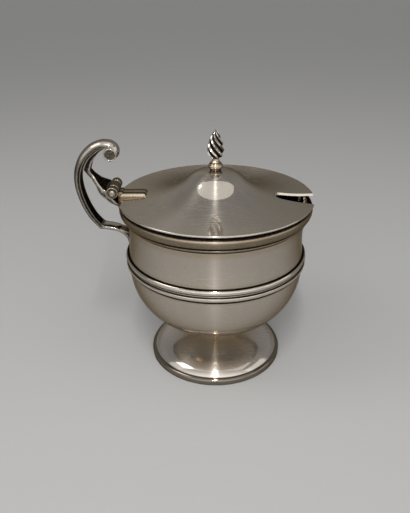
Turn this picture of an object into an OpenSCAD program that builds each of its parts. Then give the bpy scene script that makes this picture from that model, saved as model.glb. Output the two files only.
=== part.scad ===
// Footed silver mustard pot with a hinged, notched lid, a scroll handle and a glass liner.
// Millimetres. The pot's axis is Z, its foot stands on z = 0 and its handle lies towards -X.

/* [Bowl] */
// Outer radius of the bowl at the mouth and at the girdle
bowl_r = 29.5; // [27:0.5:33]
// Height of the bowl from its flat underside to the mouth
bowl_h = 45.8; // [42:0.1:52]
// Radius of the flat underside that sits on the foot
bowl_seat_r = 7.2; // [6:0.1:9]
// Thickness of the raised silver wall
bowl_wall = 0.9; // [0.6:0.1:1.4]
// How far the wall draws in between the girdle and the mouth
waist_dip = 0.5; // [0.2:0.1:1]

/* [Girdle] */
// Height of the girdle's lower edge above the widest ring of the belly
girdle_rise = 1.3; // [0.5:0.1:3]
// Radius of each of the two reeds
reed_r = 1; // [0.8:0.05:1.3]
// Space between the two reeds at the wall
reed_gap = 0.2; // [0.15:0.05:0.5]
// Thickness of the strip behind the reeds
reed_strip = 0.35; // [0.3:0.05:0.5]
// Radius of the thin bead between the reeds
reed_bead_r = 0.2; // [0.15:0.01:0.22]

/* [Rim moulding] */
// How far the plain mouth stands above the moulding
mouth_lip = 0.3; // [0.2:0.1:0.9]
// Radius of the bead round the mouth
rim_bead_r = 1.3; // [1:0.1:1.6]
// Flat between the wall and the crown of the bead
rim_flat = 0.8; // [0.5:0.1:1.2]
// How far the band below the bead bites into its foot
rim_quirk = 0.4; // [0.2:0.05:0.6]
// Height of the swelling band below the bead
rim_band_h = 1.7; // [1.2:0.1:2.4]
// How far that band lies inside the bead
rim_band_in = 0.45; // [0.3:0.05:0.7]
// Height of the fillet at the foot of the moulding
rim_fillet_h = 1.1; // [0.8:0.1:1.6]
// How far that fillet stands off the wall
rim_fillet_w = 0.75; // [0.5:0.05:1]

/* [Foot] */
// Height of the foot from the table to the bowl
foot_h = 13.7; // [12:0.1:18]
// Outer radius of the foot
foot_r = 23.5; // [21:0.5:27]
// Thickness of the spun foot
foot_wall = 1; // [0.7:0.1:1.3]
// Narrowest radius of the neck
neck_r = 6.5; // [5.5:0.1:8]
// Distance of that narrowest ring below the bowl
neck_down = 2.4; // [2:0.1:3]
// Radius where the convex border turns into the hollow neck
border_r = 16.4; // [14:0.1:18]
// Height of the border at that radius
border_z = 5.4; // [4.6:0.1:6.5]
// Height of the wire round the foot's edge
foot_rim_h = 2.3; // [1.8:0.1:3]
// Width of that wire outside the foot's flange
foot_rim_w = 1.2; // [0.8:0.1:1.8]
// Width of the wire's shelf under the flange
foot_shelf_w = 0.9; // [0.6:0.1:1.4]

/* [Lid] */
// How far the lid's edge stands out past the rim moulding
lid_overhang = 0.4; // [0.2:0.1:1]
// Thickness of the lid
lid_t = 0.7; // [0.5:0.1:1]
// Rise of the lid from its edge to the seat of the finial
lid_rise = 8.4; // [6.5:0.1:11]
// Radius of the dome in the middle of the lid
dome_r = 9.2; // [7:0.1:12]
// Fall of the dome from its top to that radius
dome_fall = 2.5; // [1.5:0.1:3.5]
// Clearance between the closed lid and the mouth
lid_gap = 0.1; // [0.05:0.01:0.2]
// Depth of the bezel under the lid
bezel_h = 2; // [1.2:0.1:3]
// Thickness of the bezel
bezel_t = 0.8; // [0.6:0.1:1.2]
// Clearance between the bezel and the mouth
bezel_gap = 0.6; // [0.4:0.1:1]
// Flat left under the lid inside the bezel
bezel_land = 0.5; // [0.3:0.1:1]
// Width of the notch at the lid's edge
notch_w = 9.2; // [7:0.1:10.5]
// Length of the notch, from the lid's edge
notch_l = 12.4; // [9:0.1:14]
// Radius of the notch's rounded inner end
notch_end_r = 2.4; // [1.8:0.1:3.2]
// Angle of the notch from the line opposite the hinge, in degrees
notch_turn = -7; // [-12:1:12]
// How far the gap in the bezel is wider than the notch, on each side
notch_relief = 0.5; // [0.3:0.1:1]

/* [Finial] */
// Height of the wrythen flame
flame_h = 9.2; // [7:0.1:12]
// Largest radius of the flame
flame_r = 2.7; // [2.2:0.05:3.2]
// Radius of the flame's blunt tip
flame_tip_r = 0.15; // [0.1:0.05:0.3]
// Number of spiral flutes
flutes = 6; // [5:1:9]
// Depth of the flutes
flute_depth = 0.6; // [0.3:0.05:0.8]
// Turn of the flutes from the foot of the flame to its tip, in degrees
flame_turn = 215; // [120:5:270]
// Height of the stem below the flame
stem_h = 3.9; // [3.4:0.1:5.5]
// Radius of the stem's neck
stem_r = 1.05; // [0.9:0.05:1.3]
// Radius of the bead at the foot of the stem
stem_bead_r = 2.4; // [2.1:0.05:2.9]
// Height of that bead
stem_bead_h = 1.6; // [1.2:0.1:2]
// Height of the fillet that the bead stands on
stem_fillet_h = 0.5; // [0.3:0.1:0.8]
// Radius of the stud that goes through the lid
stud_r = 0.8; // [0.6:0.05:1]
// Clearance round the stud
stud_gap = 0.05; // [0.02:0.01:0.1]
// How far the stud stands out of its nut
stud_end = 0.4; // [0.2:0.1:0.8]
// Width of the nut under the lid, across its corners
nut_w = 4.4; // [3.6:0.1:5]
// Height of that nut
nut_h = 1.4; // [1:0.1:2]

/* [Hinge] */
// Distance from the lid's edge out to the hinge axis
hinge_out = 1; // [0.9:0.1:1.6]
// Height of the hinge axis above the lid's seat
hinge_up = 3.1; // [2.8:0.1:3.4]
// Outer radius of the knuckles
knuckle_r = 1.8; // [1.6:0.05:1.9]
// Length of the whole barrel
barrel_l = 10.4; // [9:0.1:11.5]
// Length of the lid's knuckle in the middle
lid_knuckle_l = 4.8; // [4:0.1:5.4]
// Clearance between neighbouring knuckles
knuckle_gap = 0.1; // [0.05:0.01:0.2]
// Radius of the hinge pin
pin_r = 0.8; // [0.6:0.05:0.95]
// Running clearance of the pin in the knuckles
pin_gap = 0.04; // [0.02:0.01:0.08]
// How far the pin's rounded ends stand out of the barrel
pin_end = 0.25; // [0.1:0.05:0.5]
// Length of the bevelled plate on the lid
plate_l = 8.3; // [7:0.1:10.5]
// Width of that plate
plate_w = 6; // [5.4:0.1:8]
// Height of that plate above the lid's edge
plate_h = 1.2; // [1:0.1:1.8]
// Bevel round the top of the plate
plate_bevel = 0.6; // [0.3:0.05:0.8]
// Clearance between what turns and what stands still at the hinge
swing_gap = 0.3; // [0.2:0.05:0.4]

/* [Handle] */
// How far the back of the scroll stands out behind the hinge axis
scroll_reach = 12.85; // [12.35:0.05:13.45]
// Width of the scroll across its sides
scroll_w = 4.5; // [3.6:0.1:5.4]
// Height of the rounded back of the scroll
scroll_crown = 1.7; // [1.2:0.1:1.9]
// Radius of the volute's eye
eye_r = 2.05; // [1.8:0.05:2.3]
// How far the eye stands out of the scroll's sides
eye_proud = 0.2; // [0.1:0.05:0.4]
// Depth that the tail is let into its seat before the wall's curve is cut out of it
tail_sink = 0.4; // [0.2:0.05:0.6]
// Width of the tip of the tail on the wall
tail_tip_w = 2.8; // [2:0.1:4]
// Width of the strap where it leaves the scroll
strap_w = 3.6; // [2.8:0.1:4.2]
// Thickness of the strap where it leaves the scroll
strap_t = 2.5; // [2:0.1:2.8]
// Height of the rounding on the strap's outer face
strap_crown = 0.2; // [0.1:0.05:0.3]
// Easing of the inner edges of the scroll and the strap
ease = 0.3; // [0.2:0.05:0.4]
// Clearance left for the solder between soldered pieces
solder_gap = 0.05; // [0.03:0.01:0.1]

/* [Liner] */
// Thickness of the glass
liner_wall = 1.8; // [1.2:0.1:2.5]
// Clearance between the glass and the bowl at the waist
liner_gap = 0.5; // [0.3:0.1:1]
// Clearance between the glass lip and the lid's bezel
lip_gap = 0.8; // [0.4:0.1:2]

/* [Hidden] */
$fn = 96;
cut = 0.5;
silver = [0.80, 0.79, 0.76];
glass = [0.10, 0.16, 0.42, 0.7];

// Heights and radii of the bowl
belly_r = bowl_r - bowl_seat_r;
belly_z = foot_h + belly_r;
mouth_z = foot_h + bowl_h;
mouth_r = bowl_r - bowl_wall;
girdle_z = belly_z + girdle_rise;
girdle_h = 4 * reed_r + reed_gap;
girdle_top = girdle_z + girdle_h;

// Heights and radii of the rim moulding, with the middle of its bead
rim_top = mouth_z - mouth_lip;
rim_h = 2 * rim_bead_r - rim_quirk + rim_band_h + rim_fillet_h;
rim_z = rim_top - rim_h;
rim_r = bowl_r + rim_flat + rim_bead_r;
rim_bead = [bowl_r + rim_flat, rim_top - rim_bead_r];

// Heights and radii of the lid
lid_r = rim_r + lid_overhang;
lid_z = mouth_z + lid_gap;
lid_edge_z = lid_z + lid_t;
lid_top = lid_edge_z + lid_rise;
bezel_r = mouth_r - bezel_gap;
bezel_in = bezel_r - bezel_t;
seat_r = 0.92 * stem_bead_r;

// Hinge axis and barrel
hinge_x = -lid_r - hinge_out;
hinge_z = lid_z + hinge_up;
side_knuckle_l = (barrel_l - lid_knuckle_l) / 2 - knuckle_gap;
plate_x = hinge_x + knuckle_r + swing_gap;

// Foot
flange_r = foot_r - foot_rim_w;
shelf_z = foot_rim_h - foot_wall;

// Points on a circle of radius r about c, from angle a to angle b
function arc(c, r, a, b, n) =
    [for (i = [0:n]) c + r * [cos(a + (b - a) * i / n), sin(a + (b - a) * i / n)]];

// Points on a cubic curve with the four control points p
function curve(p, n) =
    [for (i = [0:n])
        let (t = i / n, s = 1 - t)
        s * s * s * p[0] + 3 * s * s * t * p[1] + 3 * s * t * t * p[2] + t * t * t * p[3]];

// A list without its first item, and a list turned round
function rest(v) = [for (i = [1:len(v) - 1]) v[i]];
function turned(v) = [for (i = [len(v) - 1:-1:0]) v[i]];

// A path moved to its left by t, from the direction at each point
function way(v, i) = v[min(i + 1, len(v) - 1)] - v[max(i - 1, 0)];
function shifted(v, t) =
    [for (i = [0:len(v) - 1]) let (d = way(v, i)) v[i] + t * [-d[1], d[0]] / norm(d)];

// Radius of the bowl's wall at height z, drawn in between the girdle and the rim
function wall_at(z) =
    let (t = min(max((z - girdle_top) / (rim_z - girdle_top), 0), 1))
    bowl_r - 4 * waist_dip * t * (1 - t);

// A smooth run through a list of stations, with n steps between each pair
function knot(v, i) = v[min(max(i, 0), len(v) - 1)];
function between(a, b, c, d, t) =
    0.5 * (2 * b + (c - a) * t + (2 * a - 5 * b + 4 * c - d) * t * t
        + (3 * b - a - 3 * c + d) * t * t * t);
function smooth_run(v, n) =
    concat([for (i = [0:len(v) - 2], j = [0:n - 1])
        between(knot(v, i - 1), v[i], v[i + 1], knot(v, i + 2), j / n)], [v[len(v) - 1]]);

// Skin over a list of rings that have equally many points
module loft(rings) {
    n = len(rings[0]);
    last = len(rings) - 1;
    sides = [for (i = [0:last - 1], j = [0:n - 1])
        let (a = i * n + j, b = i * n + (j + 1) % n)
        each [[a, b, a + n], [b, b + n, a + n]]];
    caps = [[for (j = [n - 1:-1:0]) j], [for (j = [0:n - 1]) last * n + j]];
    polyhedron([for (r = rings) each r], concat(sides, caps), convexity = 8);
}

// Section of a bar from a station: outer x and z, inner x and z, width.
// Its inner face is flat with eased edges and its back is rounded to the height of the crown.
function section(s, crown) =
    let (
        o = [s[0], s[1]],
        i = [s[2], s[3]],
        deep = norm(o - i),
        e = (o - i) / deep,
        h = s[4] / 2,
        soft = min(ease, deep / 4),
        c = min(crown, deep - 2 * soft),
        back = [for (a = [0:30:180]) [deep - c + c * sin(a), h * cos(a)]],
        flat = concat([[soft, -h], [0, soft - h], [0, h - soft], [soft, h]], back)
    )
    [for (q = flat) [i[0] + e[0] * q[0], q[1], i[1] + e[1] * q[0]]];

module along_hinge(y0, l, r) {
    translate([hinge_x, y0, hinge_z]) rotate([-90, 0, 0]) cylinder(r = r, h = l);
}

// Bowl: round belly, straight band for the girdle, drawn-in wall and plain mouth
wall_steps = 8;
function wall_line(inset) =
    [for (i = [0:wall_steps])
        let (z = girdle_top + (rim_z - girdle_top) * i / wall_steps)
        [wall_at(z) - inset, z]];

module bowl() {
    outside = concat(
        [[0, foot_h]],
        arc([bowl_seat_r, belly_z], belly_r, -90, 0, 24),
        wall_line(0),
        [[bowl_r, mouth_z]]
    );
    inside = concat(
        [[0, foot_h + bowl_wall]],
        arc([bowl_seat_r, belly_z], belly_r - bowl_wall, -90, 0, 24),
        wall_line(bowl_wall),
        [[mouth_r, mouth_z]]
    );
    color(silver) rotate_extrude() polygon(concat(outside, turned(inside)));
}

// Rim moulding: bead, quirk, swelling band, step and fillet, read downwards from the mouth
module rim_moulding() {
    quirk_z = rim_top - 2 * rim_bead_r + rim_quirk;
    step_z = rim_z + rim_fillet_h;
    band_r = rim_r - rim_band_in;
    band = curve([
        [band_r, quirk_z - rim_quirk / 4],
        [rim_r, quirk_z - rim_band_h * 0.4],
        [band_r, quirk_z - rim_band_h * 0.8],
        [bowl_r + rim_fillet_w * 1.4, step_z]
    ], 8);
    fillet_r = rim_fillet_w / 2;
    fillet = arc([bowl_r + fillet_r, step_z - rim_fillet_h / 2], fillet_r, 60, -60, 6);
    color(silver) rotate_extrude() polygon(concat(
        [[bowl_r, rim_top]],
        arc(rim_bead, rim_bead_r, 90, -35, 12),
        [[band_r, quirk_z]],
        band,
        fillet,
        [[bowl_r, rim_z]]
    ));
}

// Girdle: two half-round reeds with a thin bead between them, on a common strip
module girdle_band() {
    middle_z = girdle_z + girdle_h / 2;
    color(silver) rotate_extrude() union() {
        translate([bowl_r, girdle_z]) square([reed_strip, girdle_h]);
        for (s = [-1, 1])
            translate([bowl_r, middle_z + s * (reed_gap / 2 + reed_r)]) intersection() {
                circle(r = reed_r);
                translate([0, -reed_r]) square([reed_r, 2 * reed_r]);
            }
        translate([bowl_r + reed_strip + reed_bead_r / 2, middle_z]) circle(r = reed_bead_r);
    }
}

// Foot: flange, convex border and hollow neck that flares to the bowl's seat, open underneath
module foot() {
    neck_z = foot_h - neck_down;
    border_w = flange_r - border_r;
    border_h = border_z - foot_rim_h;
    hollow_w = border_r - neck_r;
    hollow_h = neck_z - border_z;
    border = curve([
        [flange_r, foot_rim_h],
        [flange_r - border_w * 0.19, foot_rim_h + border_h * 0.55],
        [border_r + border_w * 0.51, border_z - border_h * 0.16],
        [border_r, border_z]
    ], 12);
    hollow = curve([
        [border_r, border_z],
        [border_r - hollow_w * 0.5, border_z + hollow_h * 0.15],
        [neck_r + hollow_w * 0.03, neck_z - hollow_h * 0.61],
        [neck_r, neck_z]
    ], 16);
    flare = curve([
        [neck_r, neck_z],
        [neck_r, foot_h - neck_down * 0.6],
        [bowl_seat_r, foot_h - neck_down * 0.5],
        [bowl_seat_r, foot_h]
    ], 6);
    outside = concat(border, rest(hollow), rest(flare));
    inside = rest(turned(shifted(outside, foot_wall)));
    color(silver) rotate_extrude() polygon(concat(
        [[flange_r, shelf_z]],
        outside,
        [[bowl_seat_r - foot_wall, foot_h]],
        inside,
        [[inside[len(inside) - 1][0], shelf_z]]
    ));
}

// Wire round the foot: flat underneath, rounded outside, with a shelf that carries the flange
module foot_rim() {
    edge_r = foot_rim_h / 8;
    crown = curve([
        [foot_r, foot_rim_h / 2],
        [foot_r, foot_rim_h * 0.85],
        [foot_r - foot_rim_w * 0.6, foot_rim_h],
        [flange_r, foot_rim_h]
    ], 8);
    color(silver) rotate_extrude() polygon(concat(
        [[flange_r - foot_shelf_w, 0]],
        arc([foot_r - edge_r, edge_r], edge_r, -90, 0, 4),
        crown,
        [[flange_r, shelf_z], [flange_r - foot_shelf_w, shelf_z]]
    ));
}

// Stations of the handle, counted from the hinge axis: outer x and z, inner x and z, width.
// They are drawn for a reach of 12.85 and grow with it.
scroll_unit = scroll_reach / 12.85;
function from_hinge(v) =
    [for (s = v) [
        hinge_x + s[0] * scroll_unit,
        hinge_z + s[1] * scroll_unit,
        hinge_x + s[2] * scroll_unit,
        hinge_z + s[3] * scroll_unit,
        s[4]
    ]];
spur = [-6, -14.4, -5, -12.2, scroll_w];
scroll_stations = from_hinge([
    spur,
    [-9.2, -10.4, -7.2, -9.3, scroll_w],
    [-11.3, -5.9, -9.1, -5.1, scroll_w],
    [-12.6, -1, -10.3, -0.5, scroll_w],
    [-12.85, 3.3, -10.5, 3.5, scroll_w],
    [-12, 7.5, -9.7, 6.9, scroll_w],
    [-9.9, 11.5, -8, 10.1, scroll_w],
    [-6.6, 14.6, -5.4, 12.5, scroll_w],
    [-3, 16.05, -2.8, 13.7, scroll_w]
]);
steps = 4;

// The volute winds in from the arch and eases onto its eye
eye = [hinge_x - 0.2 * scroll_unit, hinge_z + 11.6 * scroll_unit];
coil_start = 4.35 * scroll_unit;
coil_end = -60;
function coil_r(a) = eye_r + (coil_start - eye_r) * pow((a - coil_end) / (90 - coil_end), 1.3);
coil = [for (a = [90:-15:coil_end])
    let (d = [cos(a), sin(a)], o = eye + coil_r(a) * d, i = eye + 0.75 * eye_r * d)
    [o[0], o[1], i[0], i[1], scroll_w]];
scroll_line = smooth_run(concat(scroll_stations, [coil[0]]), steps);

// The tail leaves the spur, turns down and dies out on the wall above the girdle
tail_tip_z = girdle_top + 0.3 * scroll_unit;
function wall_station(up, out, slant, width) =
    let (
        z0 = tail_tip_z + up * scroll_unit,
        z1 = z0 + slant * scroll_unit
    )
    [-wall_at(z0) - out * scroll_unit, z0, tail_sink - wall_at(z1), z1, width];
tail_stations = concat(
    [
        wall_station(0, 0.45, 1.6, tail_tip_w),
        wall_station(3.2, 1.3, 2.2, (tail_tip_w + scroll_w) / 2)
    ],
    from_hinge([
        [0.6, -15.7, 1.3, -13.5, scroll_w],
        [-1.8, -14.95, -1.5, -12.6, scroll_w],
        [-4, -14.6, -3.6, -12.3, scroll_w],
        spur
    ])
);

module scroll_handle() {
    stations = concat(smooth_run(tail_stations, steps), rest(scroll_line), rest(coil));
    wall = concat([[0, girdle_top]], wall_line(-solder_gap), [[0, rim_z]]);
    color(silver) difference() {
        union() {
            loft([for (s = turned(stations)) section(s, scroll_crown)]);
            translate([eye[0], scroll_w / 2 + eye_proud, eye[1]]) rotate([90, 0, 0])
                cylinder(r = eye_r, h = scroll_w + 2 * eye_proud);
        }
        rotate_extrude() polygon(wall);
    }
}

// Strap: lines the inside of the arch, leaves it, widens to the barrel and ends on the rim bead
lining_first = 33;
lining_last = 20;
function lining(i) =
    let (
        s = scroll_line[i],
        o = [s[0], s[1]],
        q = [s[2], s[3]],
        e = (q - o) / norm(q - o),
        t = strap_t * pow((lining_first + 1 - i) / (lining_first + 1 - lining_last), 0.7),
        a = q + solder_gap * e,
        b = a + t * e
    )
    [a[0], a[1], b[0], b[1], strap_w];
strap_lining = [for (i = [lining_first:-1:lining_last]) lining(i)];
strap_stations = concat([lining(lining_last)], from_hinge([
    [-8.5, 5, -6.75, 5.5, strap_w],
    [-7.3, 3.6, -5.9, 4.5, strap_w * 1.1],
    [-5.6, 1.5, -4.4, 2.6, barrel_l * 0.66],
    [-4, -0.7, -2.6, 1.2, barrel_l],
    [-2.5, -2.2, -0.6, 0.1, barrel_l],
    [-1.1, -3.5, 0.25, -2.3, barrel_l],
    [1.2, -4.6, 2.15, -4.05, barrel_l]
]));
module hinge_strap() {
    room = knuckle_r + swing_gap;
    slot_l = lid_knuckle_l + 2 * knuckle_gap;
    line = concat(strap_lining, rest(smooth_run(strap_stations, steps)));
    color(silver) difference() {
        loft([for (s = line) section(s, strap_crown)]);
        along_hinge(-barrel_l, 2 * barrel_l, knuckle_r + solder_gap / 2);
        along_hinge(-slot_l / 2, slot_l, room);
        translate([hinge_x, -slot_l / 2, hinge_z - room]) cube([4 * room, slot_l, 4 * room]);
        rotate_extrude() union() {
            translate(rim_bead) circle(r = rim_bead_r + solder_gap);
            translate([edge_r, lid_z + lid_t / 2]) circle(r = lid_t / 2 + swing_gap);
            translate([0, lid_z - swing_gap]) square([edge_r, lid_t + swing_gap]);
        }
    }
}

module side_knuckle(y0) {
    color(silver) difference() {
        along_hinge(y0, side_knuckle_l, knuckle_r);
        along_hinge(y0 - cut, side_knuckle_l + 2 * cut, pin_r + pin_gap / 2);
    }
}
module knuckle_front() {
    side_knuckle(-barrel_l / 2);
}
module knuckle_rear() {
    side_knuckle(barrel_l / 2 - side_knuckle_l);
}

// Pin with rounded ends
module hinge_pin() {
    half = barrel_l / 2;
    far_end = curve([
        [pin_r, half],
        [pin_r, half + pin_end / 2],
        [pin_r / 2, half + pin_end],
        [0, half + pin_end]
    ], 4);
    near_end = [for (p = turned(far_end)) [p[0], -p[1]]];
    color(silver) translate([hinge_x, 0, hinge_z]) rotate([-90, 0, 0])
        rotate_extrude() polygon(concat(near_end, far_end));
}

// Glass liner: follows the bowl's inside, rests on its floor and has a rounded lip
module liner() {
    out_r = mouth_r - waist_dip - liner_gap;
    turn_r = belly_r - bowl_wall - liner_gap;
    turn = [out_r - turn_r, foot_h + bowl_wall + turn_r];
    lip_z = lid_z - bezel_h - lip_gap;
    lip = arc([out_r - liner_wall / 2, lip_z - liner_wall / 2], liner_wall / 2, 0, 180, 8);
    color(glass) rotate_extrude() polygon(concat(
        [[0, foot_h + bowl_wall]],
        arc(turn, turn_r, -90, 0, 24),
        lip,
        arc(turn, turn_r - liner_wall, 0, -90, 24),
        [[0, foot_h + bowl_wall + liner_wall]]
    ));
}

// Slot with a rounded inner end that widens outwards past the lid's edge, grown by g
module notch(g) {
    reach = notch_l - notch_end_r;
    half_w = notch_w / 2;
    side = atan2(half_w, reach) - asin(notch_end_r / norm([reach, half_w]));
    end_x = lid_r - reach;
    end_r = notch_end_r + g;
    mouth_l = reach + cut;
    mouth_w = (end_r + mouth_l * sin(side)) / cos(side);
    outline = concat(
        arc([end_x, 0], end_r, 90 + side, 270 - side, 16),
        [[end_x + mouth_l, -mouth_w], [end_x + mouth_l, mouth_w]]
    );
    rotate([0, 0, notch_turn]) translate([0, 0, lid_z - bezel_h - cut])
        linear_extrude(lid_rise + bezel_h + 2 * cut) polygon(outline);
}

// Upper face of the lid, from the finial's seat over the dome and the hollow slope to the edge
slope_z = lid_top - dome_fall;
edge_r = lid_r - lid_t / 2;
dome_line = curve([
    [seat_r, lid_top],
    [dome_r * 0.57, lid_top],
    [dome_r * 0.76, slope_z + dome_fall * 0.8],
    [dome_r, slope_z]
], 12);
slope_line = curve([
    [dome_r, slope_z],
    [dome_r * 1.36, slope_z - dome_fall * 1.2],
    [dome_r * 1.9, lid_edge_z - lid_t * 0.3],
    [edge_r, lid_edge_z]
], 20);
lid_face = concat(dome_line, rest(slope_line));
module lid_shell() {
    hole_r = stud_r + stud_gap;
    land_r = bezel_in - bezel_land;
    under = [for (p = shifted(lid_face, -lid_t)) if (p[0] < land_r && p[1] > lid_z) p];
    color(silver) difference() {
        rotate_extrude() polygon(concat(
            [[hole_r, lid_top]],
            lid_face,
            rest(arc([edge_r, lid_z + lid_t / 2], lid_t / 2, 90, -90, 8)),
            [[bezel_in, lid_z]],
            turned(under),
            [[hole_r, lid_top - lid_t]]
        ));
        notch(0);
    }
}

// Ring under the lid, open at the notch
module lid_bezel() {
    color(silver) difference() {
        translate([0, 0, lid_z - bezel_h]) difference() {
            cylinder(r = bezel_r, h = bezel_h);
            translate([0, 0, -cut]) cylinder(r = bezel_in, h = bezel_h + 2 * cut);
        }
        notch(notch_relief);
    }
}

// Bevelled plate on the lid, with a tongue that carries the middle knuckle
module hinge_plate() {
    top_z = lid_edge_z + plate_h;
    b = plate_bevel;
    end_x = plate_x + plate_l;
    half_w = plate_w / 2;
    tongue_x = hinge_x + 0.7 * knuckle_r;
    tongue_z = hinge_z - 0.4 * knuckle_r;
    lengthwise = [
        [plate_x, lid_z],
        [end_x, lid_z],
        [end_x, top_z - b],
        [end_x - b, top_z],
        [plate_x + b, top_z],
        [plate_x, top_z - b]
    ];
    across = [
        [-half_w, lid_z],
        [half_w, lid_z],
        [half_w, top_z - b],
        [half_w - b, top_z],
        [b - half_w, top_z],
        [-half_w, top_z - b]
    ];
    color(silver) difference() {
        union() {
            intersection() {
                translate([0, half_w, 0]) rotate([90, 0, 0])
                    linear_extrude(plate_w) polygon(lengthwise);
                translate([plate_x, 0, 0]) rotate([90, 0, 90])
                    linear_extrude(plate_l) polygon(across);
            }
            translate([tongue_x, -lid_knuckle_l / 2, lid_z])
                cube([plate_x + b - tongue_x, lid_knuckle_l, tongue_z - lid_z]);
        }
        along_hinge(-barrel_l, 2 * barrel_l, knuckle_r + solder_gap / 2);
        rotate_extrude() polygon(concat(
            [[0, lid_z - cut], [0, lid_top]],
            lid_face,
            [[lid_r, lid_edge_z], [lid_r, lid_z - cut]]
        ));
    }
}

module lid_knuckle() {
    color(silver) difference() {
        along_hinge(-lid_knuckle_l / 2, lid_knuckle_l, knuckle_r);
        along_hinge(-lid_knuckle_l / 2 - cut, lid_knuckle_l + 2 * cut, pin_r + pin_gap);
    }
}

// Finial: stud, bead and stem turned in one, with a flame of sharp spiral ridges rooted in the stem
flame_rings = 18;
flute_points = 8;
flame_z = lid_top + stem_h;
root_r = 0.86 * stem_r;
flame_line = concat(
    [[0.9 * root_r, flame_z - 0.3 * stem_r]],
    curve([
        [root_r, flame_z + 0.05 * stem_r],
        [flame_r * 1.42, flame_z + flame_h * 0.045],
        [flame_r * 1.07, flame_z + flame_h * 0.61],
        [flame_tip_r, flame_z + flame_h]
    ], flame_rings)
);
function flame_ring(p) =
    let (
        n = flutes * flute_points,
        up = (p[1] - flame_z) / flame_h,
        deep = flute_depth * min(1, p[0] / flame_r)
    )
    [for (i = [0:n - 1])
        let (
            a = -360 * i / n,
            r = p[0] - deep * abs(sin(a * flutes / 2)),
            b = a - flame_turn * up
        )
        [r * cos(b), r * sin(b), p[1]]];
module finial() {
    stud_z = lid_top - lid_t - nut_h - stud_end;
    round_r = stem_bead_h / 2;
    fillet_r = stem_bead_r - 0.8 * round_r;
    bead_z = lid_top + stem_fillet_h + 1.12 * round_r;
    stem_z = bead_z + 1.12 * round_r;
    neck_l = flame_z - stem_z;
    knop = concat(
        [
            [0, stud_z],
            [stud_r, stud_z],
            [stud_r, lid_top],
            [fillet_r, lid_top],
            [fillet_r, lid_top + stem_fillet_h]
        ],
        arc([stem_bead_r - round_r, bead_z], round_r, -60, 60, 8),
        curve([
            [stem_bead_r - 0.7 * round_r, stem_z],
            [stem_r * 1.7, stem_z + neck_l * 0.25],
            [stem_r, stem_z + neck_l * 0.45],
            [stem_r, stem_z + neck_l * 0.85]
        ], 8),
        [[stem_r, flame_z], [0, flame_z]]
    );
    color(silver) union() {
        rotate_extrude() polygon(knop);
        loft([for (p = flame_line) flame_ring(p)]);
    }
}

module finial_nut() {
    color(silver) translate([0, 0, lid_top - lid_t - nut_h]) difference() {
        cylinder(d = nut_w, h = nut_h, $fn = 6);
        translate([0, 0, -cut]) cylinder(r = stud_r + stud_gap, h = nut_h + 2 * cut);
    }
}

bowl();
rim_moulding();
girdle_band();
foot();
foot_rim();
scroll_handle();
hinge_strap();
knuckle_front();
knuckle_rear();
hinge_pin();
liner();
lid_shell();
lid_bezel();
hinge_plate();
lid_knuckle();
finial();
finial_nut();
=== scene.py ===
import math
import bmesh
import bpy
from mathutils import Matrix, Vector, geometry


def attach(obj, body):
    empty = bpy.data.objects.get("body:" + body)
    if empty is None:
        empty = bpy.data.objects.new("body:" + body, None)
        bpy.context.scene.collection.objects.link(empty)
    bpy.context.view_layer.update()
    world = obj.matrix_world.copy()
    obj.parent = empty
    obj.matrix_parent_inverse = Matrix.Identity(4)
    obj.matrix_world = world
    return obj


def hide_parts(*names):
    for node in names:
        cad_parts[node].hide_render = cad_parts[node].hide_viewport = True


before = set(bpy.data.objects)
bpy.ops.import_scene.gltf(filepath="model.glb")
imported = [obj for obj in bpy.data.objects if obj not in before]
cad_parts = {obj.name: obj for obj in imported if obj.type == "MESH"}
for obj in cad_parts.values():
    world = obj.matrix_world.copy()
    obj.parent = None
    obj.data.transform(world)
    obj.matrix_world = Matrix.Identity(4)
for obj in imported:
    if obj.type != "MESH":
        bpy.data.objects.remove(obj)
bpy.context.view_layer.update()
mm = 0.001
print("frame loaded with", len(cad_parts), "nodes")


# a node socket that works in plain sums, so that masks read as formulas
class Wire:
    def __init__(self, tree, socket=None):
        self.tree = tree
        self.socket = socket

    def node(self, kind, settings=None, values=None, out=0):
        made = self.tree.nodes.new(kind)
        for key, value in (settings or {}).items():
            if key == "stops":
                ramp = made.color_ramp
                while len(ramp.elements) < len(value):
                    ramp.elements.new(0.5)
                for stop, (place, colour) in zip(ramp.elements, value):
                    stop.position = place
                    stop.color = colour
            else:
                setattr(made, key, value)
        for key, value in (values or {}).items():
            if isinstance(value, Wire):
                value.feed(made, key)
            else:
                made.inputs[key].default_value = value
        return Wire(self.tree, made.outputs[out])

    def feed(self, node, key):
        self.tree.links.new(self.socket, node.inputs[key])

    def sum(self, operation, other=0.0, swapped=False):
        pair = {0: other, 1: self} if swapped else {0: self, 1: other}
        return self.node("ShaderNodeMath", {"operation": operation}, pair)

    def __add__(self, other):
        return self.sum("ADD", other)

    def __radd__(self, other):
        return self.sum("ADD", other, True)

    def __sub__(self, other):
        return self.sum("SUBTRACT", other)

    def __rsub__(self, other):
        return self.sum("SUBTRACT", other, True)

    def __mul__(self, other):
        return self.sum("MULTIPLY", other)

    def __rmul__(self, other):
        return self.sum("MULTIPLY", other, True)

    def __truediv__(self, other):
        return self.sum("DIVIDE", other)

    def away(self, place):
        return (self - place).sum("ABSOLUTE")

    def clip(self):
        return self.node("ShaderNodeClamp", None, {0: self})

    def atLeast(self, other):
        return self.sum("MAXIMUM", other)


def newFinish(name):
    material = bpy.data.materials.new(name)
    material.use_nodes = True
    tree = material.node_tree
    place = Wire(tree).node("ShaderNodeTexCoord", out="Object")
    return material, tree.nodes["Principled BSDF"], place


def noiseOn(place, scale, detail, rough=0.5):
    return place.node("ShaderNodeTexNoise", None, {
        "Vector": place, "Scale": scale, "Detail": detail, "Roughness": rough})


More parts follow.
